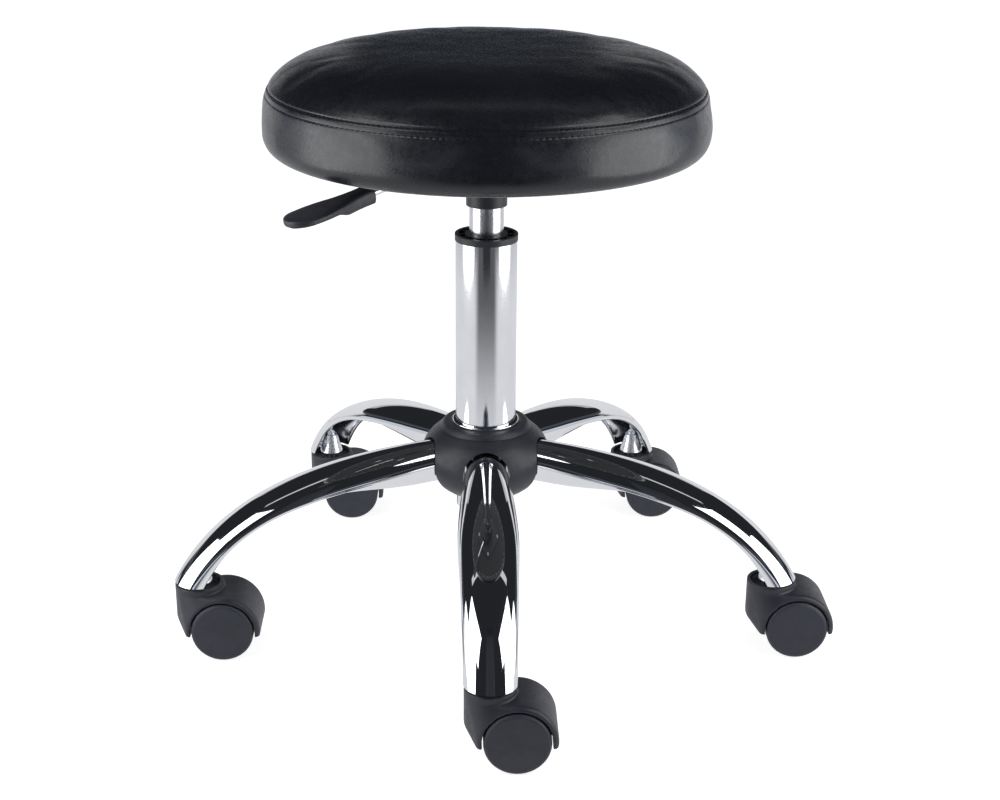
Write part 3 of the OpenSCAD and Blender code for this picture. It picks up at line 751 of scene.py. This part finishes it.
def hood_mesh():
    """A moulded hood: hull, wheel bays, recess, bores, then rounded by remesh and smoothing."""
    hood = cut(hood_hull(), [drum("collar", CUP_R, 45, CUP_TOP_Z)], "UNION")
    half_web = WEB_T / 2
    bays = [drum(f"bay_{s}", OPENING_R, min(s * half_web, s * 50), max(s * half_web, s * 50),
                 (TRAIL, AXLE_Z), along_y=True) for s in (-1, 1)]
    bays = [cut(bay, [drum("boss", BOSS_R, 0, 60)]) for bay in bays]
    hood = cut(hood, bays + [drum("recess", CUP_R - 3, CUP_FLOOR_Z, 80),
                             drum("stem_bore", STEM_R + 0.05, STEM_LOW_Z - 0.4, 80),
                             drum("axle_bore", AXLE_R, -20, 20, (TRAIL, AXLE_Z), True)])
    remesh = hood.modifiers.new("remesh", "REMESH")
    remesh.mode = "VOXEL"
    remesh.voxel_size = 0.8 * MM
    remesh.use_smooth_shade = True
    soften = hood.modifiers.new("soften", "SMOOTH")
    soften.factor = 0.5
    soften.iterations = 6
    data = applied(hood)
    data.name = "caster_hood_skin"
    data.shade_smooth()
    return data


def make_hoods():
    data = hood_mesh()
    data.materials.clear()
    for i in LEGS:
        low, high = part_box(f"caster_hood_{i}")
        hood = bpy.data.objects.new(f"caster_hood_skin_{i}", data)
        bpy.context.collection.objects.link(hood)
        hood.location = (low.x + CUP_R * MM, (low.y + high.y) / 2, 0)
        place_piece(hood, f"caster_{i}", "black_nylon", LOOKS["black_nylon"],
                    f"caster_hood_{i}")


# ---- Release lever ----

LEVER_AZ = math.radians(222)
LEVER_SLOPE = math.radians(7.5)
PIVOT_X = 38
PIVOT_Z = 394.2
HANDLE_FROM = 118.5 - PIVOT_X
HANDLE_L = 79
TIP_HALF_W = 15
ROOT_HALF_W = 7.5
HANDLE_TOP = ((0, 5.2), (6, 6.0), (34, 4.6), (77, 3.0), (80, 2.4))
HANDLE_LOW = ((0, -7.2), (27, -7.8), (30, -7.4), (38, -4.2), (42, -3.7), (77, -3.0), (80, -2.4))


def handle_half_width(x):
    if x > HANDLE_L - TIP_HALF_W:
        return math.sqrt(max(0, TIP_HALF_W ** 2 - (x - HANDLE_L + TIP_HALF_W) ** 2))
    u = x / (HANDLE_L - TIP_HALF_W)
    return ROOT_HALF_W + (TIP_HALF_W - ROOT_HALF_W) * ease((u - 0.15) / 0.75)


def make_handle():
    """Paddle lofted through rounded-box sections, with a rounded root and tip."""
    body = list(np.linspace(0, HANDLE_L - TIP_HALF_W, 60))
    tip = [HANDLE_L - TIP_HALF_W + TIP_HALF_W * math.sin(a)
           for a in np.linspace(0, math.pi / 2, 22)[1:]]
    turn = np.linspace(0, 2 * math.pi, 64, endpoint=False)
    square = 2 / 3.6
    rings = []
    for x in body + tip:
        half = max(handle_half_width(x), 0.02)
        top = np.interp(x, *zip(*HANDLE_TOP))
        low = np.interp(x, *zip(*HANDLE_LOW))
        shrink = min(1, ((x + 0.25) / 2.2) ** 0.5, (half / 6) ** 0.45)
        across = half * min(1, ((x + 0.6) / 2.2) ** 0.5)
        y = across * np.sign(np.cos(turn)) * np.abs(np.cos(turn)) ** square
        z = np.sign(np.sin(turn)) * np.abs(np.sin(turn)) ** square
        z = (top + low) / 2 + z * (top - low) / 2 * shrink
        rings.append(np.column_stack([np.full(64, x), y, z]))
    first, last = rings[0].mean(0), rings[-1].mean(0)
    verts = np.concatenate([[first], *rings, [last]]) * MM
    faces = [f[::-1] for f in skin([1] + [64] * len(rings) + [1])]
    handle = make_object("lever_paddle", verts, faces)
    handle.matrix_world = (Matrix.Rotation(LEVER_AZ, 4, "Z")
                           @ Matrix.Translation((PIVOT_X * MM, 0, PIVOT_Z * MM))
                           @ Matrix.Rotation(LEVER_SLOPE, 4, "Y")
                           @ Matrix.Translation((HANDLE_FROM * MM, 0, 0)))
    place_piece(handle, "lever", "black_nylon", LOOKS["black_nylon"], "lever_handle")


# ---- Seat ----

SEAT_R = 175.0
SEAM_R = 169.6
SEAM_Z = 450.0
CROWN_Z = 479.0
BELLY_Z = 417.5
SEAT_LOW_Z = 402
LOW_ROUND = 11.2
BOARD_R = 160
BOARD_Z = 402.8
BOARD_T = 12
COVER_T = 1.3
CROWN_SQUARENESS, CROWN_SHOULDER = 5.7, 0.77     # exponents of the crown's profile
BAND_SWELL = 0.62        # exponent of the band's profile
PUFF_SHARE = 0.35        # how much of the simulated puff the taut cover keeps
PUFF_LIMIT = 0.5
STITCHES = 234
TOPSTITCH_DROP = 6.0     # arc distance of the topstitching below the seam


def seat_outline(margin, low_z, steps=400):
    """Dense outline of the padded seat from the crown's centre to the underside."""
    seam, belly = SEAM_R - margin, SEAT_R - margin
    crown_h = CROWN_Z - margin - SEAM_Z
    r = seam * np.sin(np.linspace(0, math.pi / 2, steps)) ** 0.6
    fall = np.maximum(0, 1 - (r / seam) ** CROWN_SQUARENESS) ** CROWN_SHOULDER
    crown = np.column_stack([r, SEAM_Z + crown_h * fall])
    u = np.linspace(0, 1, steps)[1:] ** 1.6
    band = np.column_stack([seam + (belly - seam) * np.sin(u * math.pi / 2) ** BAND_SWELL,
                            SEAM_Z + (BELLY_Z - SEAM_Z) * u])
    a = np.linspace(0, math.pi / 2, steps // 2)[1:]
    low = np.column_stack([belly - LOW_ROUND * (1 - np.cos(a)),
                           BELLY_Z - (BELLY_Z - low_z) * np.sin(a)])
    return np.concatenate([crown, band, low])


def arc_length(points):
    return np.concatenate([[0], np.cumsum(np.hypot(*np.diff(points, axis=0).T))])


def at_length(points, along, lengths):
    return np.column_stack([np.interp(lengths, along, points[:, k]) for k in (0, 1)])


def outward(points):
    """Unit normals of an outline that runs from the top centre down and round."""
    way = np.gradient(points, axis=0)
    normal = np.column_stack([-way[:, 1], way[:, 0]])
    return normal / np.linalg.norm(normal, axis=1, keepdims=True)


def puffed_form(outline):
    """Cloth simulation of the cover over its foam, as a surface to measure. It starts from
    an evenly meshed closed form, a little inside the outline, held at the seam and hem."""
    cube = bmesh.new()
    bmesh.ops.create_cube(cube, size=2)
    bmesh.ops.subdivide_edges(cube, edges=cube.edges, cuts=35, use_grid_fill=True)
    along = arc_length(outline)
    for vert in cube.verts:
        way = Vector([math.tan(c * math.pi / 4) for c in vert.co]).normalized()
        share = math.acos(max(-1, min(1, way.z))) / math.pi
        r, z = at_length(outline, along, [share * along[-1]])[0]
        turn = math.atan2(way.y, way.x)
        wobble = 1 + 0.002 * noise.noise(Vector((3 * way.x, 3 * way.y, 5 * way.z)))
        vert.co = (r * math.cos(turn) * wobble * MM, r * math.sin(turn) * wobble * MM, z * MM)
    data = bpy.data.meshes.new("seat_form")
    cube.to_mesh(data)
    cube.free()
    form = bpy.data.objects.new("seat_form", data)
    bpy.context.collection.objects.link(form)
    held = form.vertex_groups.new(name="held")
    for vert in data.vertices:
        z = vert.co.z / MM
        r = math.hypot(vert.co.x, vert.co.y) / MM
        seam = math.exp(-((z - SEAM_Z) / 3.0) ** 2) if r > SEAM_R - 8 else 0
        hem = 1 - ease((z - SEAT_LOW_Z - 1) / 6)
        held.add([vert.index], max(seam, hem), "REPLACE")
    cloth = form.modifiers.new("cloth", "CLOTH")
    cloth.settings.quality = 6
    cloth.settings.mass = 0.3
    cloth.settings.tension_stiffness = 30
    cloth.settings.compression_stiffness = 30
    cloth.settings.bending_stiffness = 2.0
    cloth.settings.shrink_min = 0.01
    cloth.settings.use_pressure = True
    cloth.settings.uniform_pressure_force = 4
    cloth.settings.effector_weights.gravity = 0
    cloth.settings.vertex_group_mass = "held"
    cloth.collision_settings.use_collision = False
    scene = bpy.context.scene
    for step in range(1, 21):
        scene.frame_set(step)
    fine = form.modifiers.new("fine", "SUBSURF")
    fine.levels = 2
    graph = bpy.context.evaluated_depsgraph_get()
    tree = BVHTree.FromObject(form, graph)
    bpy.data.objects.remove(form)
    scene.frame_set(1)
    return tree


def puff_offsets(outline, normals, turns):
    """How far the simulated cover stands off its own mean profile, at each ring and turn."""
    start = seat_outline(1.0, SEAT_LOW_Z + 1.0)
    tree = puffed_form(np.concatenate([start, [[0, SEAT_LOW_Z + 1.0]]]))
    offsets = np.zeros((len(outline), len(turns)))
    reach = 12
    for j, ((r, z), (nr, nz)) in enumerate(zip(outline, normals)):
        for k, a in enumerate(turns):
            c, s = math.cos(a), math.sin(a)
            origin = Vector(((r - nr * reach) * c, (r - nr * reach) * s, z - nz * reach)) * MM
            hit = tree.ray_cast(origin, Vector((nr * c, nr * s, nz)), 2.5 * reach * MM)
            offsets[j, k] = hit[3] / MM - reach if hit[0] else np.nan
    mean = np.nanmean(offsets, axis=1, keepdims=True)
    offsets = np.nan_to_num(offsets - mean)
    return np.clip(PUFF_SHARE * offsets, -PUFF_LIMIT, PUFF_LIMIT)


def slow_wave(x, y, z, size, seed):
    return noise.noise(Vector((x / size + seed, y / size, z / size)))


def seat_rings():
    """Rings of the cover's outside: their outline points, arc distance from the seam and
    how many points each has."""
    outline = seat_outline(0, SEAT_LOW_Z)
    along = arc_length(outline)
    seam_at = along[399]
    marks = [0]
    while marks[-1] < along[-1]:
        gap = abs(marks[-1] - seam_at)
        step = 0.4 if gap < 7.5 else 0.9 if gap < 12 else 2.2 if gap < 60 else 5.0
        marks.append(marks[-1] + step)
    marks = np.array(marks[:-1] + [along[-1]])
    points = at_length(outline, along, marks)
    counts = []
    for r, mark in zip(points[:, 0], marks):
        if abs(mark - seam_at) < 9:
            counts.append(1440)
        elif r > 110:
            counts.append(720)
        elif r > 50:
            counts.append(360)
        elif r > 22:
            counts.append(180)
        elif r > 8:
            counts.append(90)
        elif r > 0:
            counts.append(45)
        else:
            counts.append(1)
    return points, marks - seam_at, counts


def sewn_depth(gap, turn):
    """Relief of the sewing at an arc distance from the seam: a crease, the pull of each
    stitch and the little rolls beside them."""
    depth = -0.42 * bell(gap, 0.45) + 0.1 * bell(gap - 2.4, 1.3) + 0.08 * bell(gap + 2.0, 1.4)
    for row, pull in ((0.9, 0.2), (TOPSTITCH_DROP, 0.35)):
        phase = (turn * STITCHES / (2 * math.pi) + 0.37 * (row > 1)) % 1
        hole = np.exp(-(np.minimum(phase, 1 - phase) / 0.2) ** 2)
        uneven = 0.75 + 0.5 * np.sin(17 * turn + 2 * row) * np.sin(41 * turn)
        depth = depth - pull * uneven * hole * bell(gap - row, 0.75)
        depth = depth - 0.22 * bell(gap - row, 0.6)
    return depth


def make_seat_cover():
    points, gaps, counts = seat_rings()
    normals = outward(points)
    coarse = np.linspace(0, 2 * math.pi, 180, endpoint=False)
    puffs = puff_offsets(points, normals, coarse)
    rings = []
    surface = []
    for (r, z), (nr, nz), gap, count, puff in zip(points, normals, gaps, counts, puffs):
        turn = np.linspace(0, 2 * math.pi, count, endpoint=False)
        lift = np.interp(turn, coarse, puff, period=2 * math.pi)
        slow = np.array([slow_wave(r * math.cos(a), r * math.sin(a), z, 46, 3.1)
                         + 0.5 * slow_wave(r * math.cos(a), r * math.sin(a), z, 19, 8.4)
                         for a in turn])
        calm = 1 - bell(gap, 3.5)
        lift = lift * calm + slow * (0.4 if gap < 0 else 0.22) * calm
        lift = lift * ease(r / 60) + sewn_depth(gap, turn)
        if z < BELLY_Z - 8:
            lift = lift * max(0, (z - SEAT_LOW_Z) / (BELLY_Z - 8 - SEAT_LOW_Z))
        out, up = r + nr * lift, z + nz * lift
        rings.append(np.column_stack([out * np.cos(turn), out * np.sin(turn), up]))
        surface.append((gap, turn, out, up))
    hem = [(BOARD_R + 1.2, SEAT_LOW_Z), (BOARD_R - 0.6, SEAT_LOW_Z),
           (BOARD_R - 0.6, BOARD_Z - 0.05), (BOARD_R + 1.5, BOARD_Z - 0.05)]
    inside = seat_outline(COVER_T + 1.2, BOARD_Z)[::-1]
    lining = at_length(inside, arc_length(inside), np.linspace(2, arc_length(inside)[-1], 40))
    for r, z in [*hem, *lining]:
        count = 720 if r > 110 else 360 if r > 50 else 180 if r > 22 else 90 if r > 0.5 else 1
        last = len(rings[-1])
        count = max(count, last // 2)
        turn = np.linspace(0, 2 * math.pi, count, endpoint=False)
        rings.append(np.column_stack([r * np.cos(turn), r * np.sin(turn), np.full(count, z)]))
    while len(rings[-1]) > 45:
        half = rings[-1][::2].copy()
        half[:, :2] *= 0.5
        rings.append(half)
    rings.append(rings[-1].mean(0, keepdims=True))
    verts = np.concatenate(rings) * MM
    cover = make_object("seat_vinyl_cover", verts, skin([len(ring) for ring in rings]))
    place_piece(cover, "lift", "black_vinyl", LOOKS["black_vinyl"], "seat_cover")
    return surface


def capsule(length, radius, flat=1.0):
    """Vertices and faces of a round-ended thread along +X, flattened across by flat."""
    sides, cap = 8, 3
    rings = [[(-length / 2, 0, 0)]]
    ends = [(-length / 2 + radius * (1 - math.cos(a)), radius * math.sin(a))
            for a in np.linspace(0, math.pi / 2, cap + 1)[1:]]
    for x, r in ends + [(-x, r) for x, r in ends[::-1]]:
        rings.append([(x, r * math.cos(a), r * flat * math.sin(a))
                      for a in np.linspace(0, 2 * math.pi, sides, endpoint=False)])
    rings.append([(length / 2, 0, 0)])
    faces = [f[::-1] for f in skin([len(ring) for ring in rings])]
    return np.array([p for ring in rings for p in ring]), faces


def repeated(name, shape, frames):
    """One mesh with a copy of shape at each frame: (origin, along, across, up)."""
    points, faces = shape
    verts, all_faces = [], []
    for origin, along, across, up in frames:
        base = len(verts)
        axes = np.stack([along, across, up])
        verts.extend((points @ axes + origin) * MM)
        all_faces += [tuple(v + base for v in f) for f in faces]
    return make_object(name, verts, all_faces)


def make_stitches(surface):
    """The topstitching round the band, and the seam's own stitches just under the crease."""
    pitch = 2 * math.pi / STITCHES
    for name, row, share, phase in (("topstitch_thread", TOPSTITCH_DROP, 0.76, 0.13),
                                    ("seam_stitch_thread", 0.9, 0.55, 0.5)):
        _, turns, out, up = min(surface, key=lambda ring: abs(ring[0] - row))
        frames = []
        for k in range(STITCHES):
            a = (k + phase) * pitch
            r = np.interp(a, turns, out, period=2 * math.pi)
            z = np.interp(a, turns, up, period=2 * math.pi)
            radial = np.array([math.cos(a), math.sin(a), 0])
            along = np.array([-math.sin(a), math.cos(a), 0])
            frames.append((radial * (r - 0.08) + (0, 0, z), along, np.cross(radial, along), radial))
        thread = repeated(name, capsule(SEAM_R * pitch * share, 0.36, 0.8), frames)
        place_piece(thread, "lift", "black_vinyl", THREAD)


def make_foam():
    """The moulded foam core, with the pocket that the board fills."""
    outline = seat_outline(COVER_T + 2.2, BOARD_Z + 0.3, 60)
    pocket = [(BOARD_R + 0.5, BOARD_Z + 0.3), (BOARD_R + 0.5, BOARD_Z + BOARD_T + 0.1)]
    along = arc_length(outline)
    points = list(at_length(outline, along, np.linspace(3, along[-1], 70))) + pocket
    rings = [np.array([[0, 0, outline[0][1]]])]
    for r, z in points:
        turn = np.linspace(0, 2 * math.pi, 180, endpoint=False)
        soft = np.array([0.4 * slow_wave(r * math.cos(a), r * math.sin(a), z, 30, 1.7)
                         for a in turn])
        rings.append(np.column_stack([r * np.cos(turn), r * np.sin(turn), z + soft * (z > 420)]))
    rings.append(np.array([[0, 0, BOARD_Z + BOARD_T + 0.1]]))
    core = make_object("seat_foam_core", np.concatenate(rings) * MM,
                       skin([len(ring) for ring in rings]))
    place_piece(core, "lift", "foam", LOOKS["foam"], "seat_foam")


def make_dust_cover():
    """Cloth tacked under the board, slack between its staples."""
    radius, thick, staples = BOARD_R - 1.2, 0.35, 36
    rings, counts = [], []
    for r in [0, 4, *np.linspace(12, radius, 50)]:
        count = 1 if r == 0 else 45 if r < 10 else 90 if r < 24 else 180 if r < 50 else 360
        turn = np.linspace(0, 2 * math.pi, count, endpoint=False)
        slack = 0.5 + np.array([slow_wave(r * math.cos(a), r * math.sin(a), 0, 24, 5.5)
                                for a in turn])
        scallop = 0.5 + 0.5 * np.cos(staples * turn) * ease((r - 120) / 30)
        sag = 0.42 * slack * scallop * ease((r - 100) / 20)
        rings.append(np.column_stack([r * np.cos(turn), r * np.sin(turn),
                                      SEAT_LOW_Z + 0.42 - sag]))
        counts.append(count)
    upper = [ring + (0, 0, thick) for ring in rings[::-1]]
    lower = rings
    verts = np.concatenate(upper[::-1] + lower[::-1]) * MM
    cloth = make_object("dust_cover_cloth", verts, skin(counts + counts[::-1]))
    place_piece(cloth, "lift", "dust_cloth", LOOKS["dust_cloth"], "dust_cover")
    frames = []
    for k in range(staples):
        a = 2 * math.pi * (k + 0.5) / staples
        radial = np.array([math.cos(a), math.sin(a), 0])
        along = np.array([-math.sin(a), math.cos(a), 0])
        frames.append((radial * (radius - 4) + (0, 0, SEAT_LOW_Z + 0.25), along, radial,
                       np.array([0, 0, -1])))
    crowns = repeated("dust_cover_staples", capsule(9.5, 0.5, 0.7), frames)
    place_piece(crowns, "lift", "zinc_plate", LOOKS["zinc_plate"])


make_camera()
make_studio()
finish_cad_nodes()
make_legs()
make_hoods()
make_handle()
seat_surface = make_seat_cover()
make_stitches(seat_surface)
make_foam()
make_dust_cover()
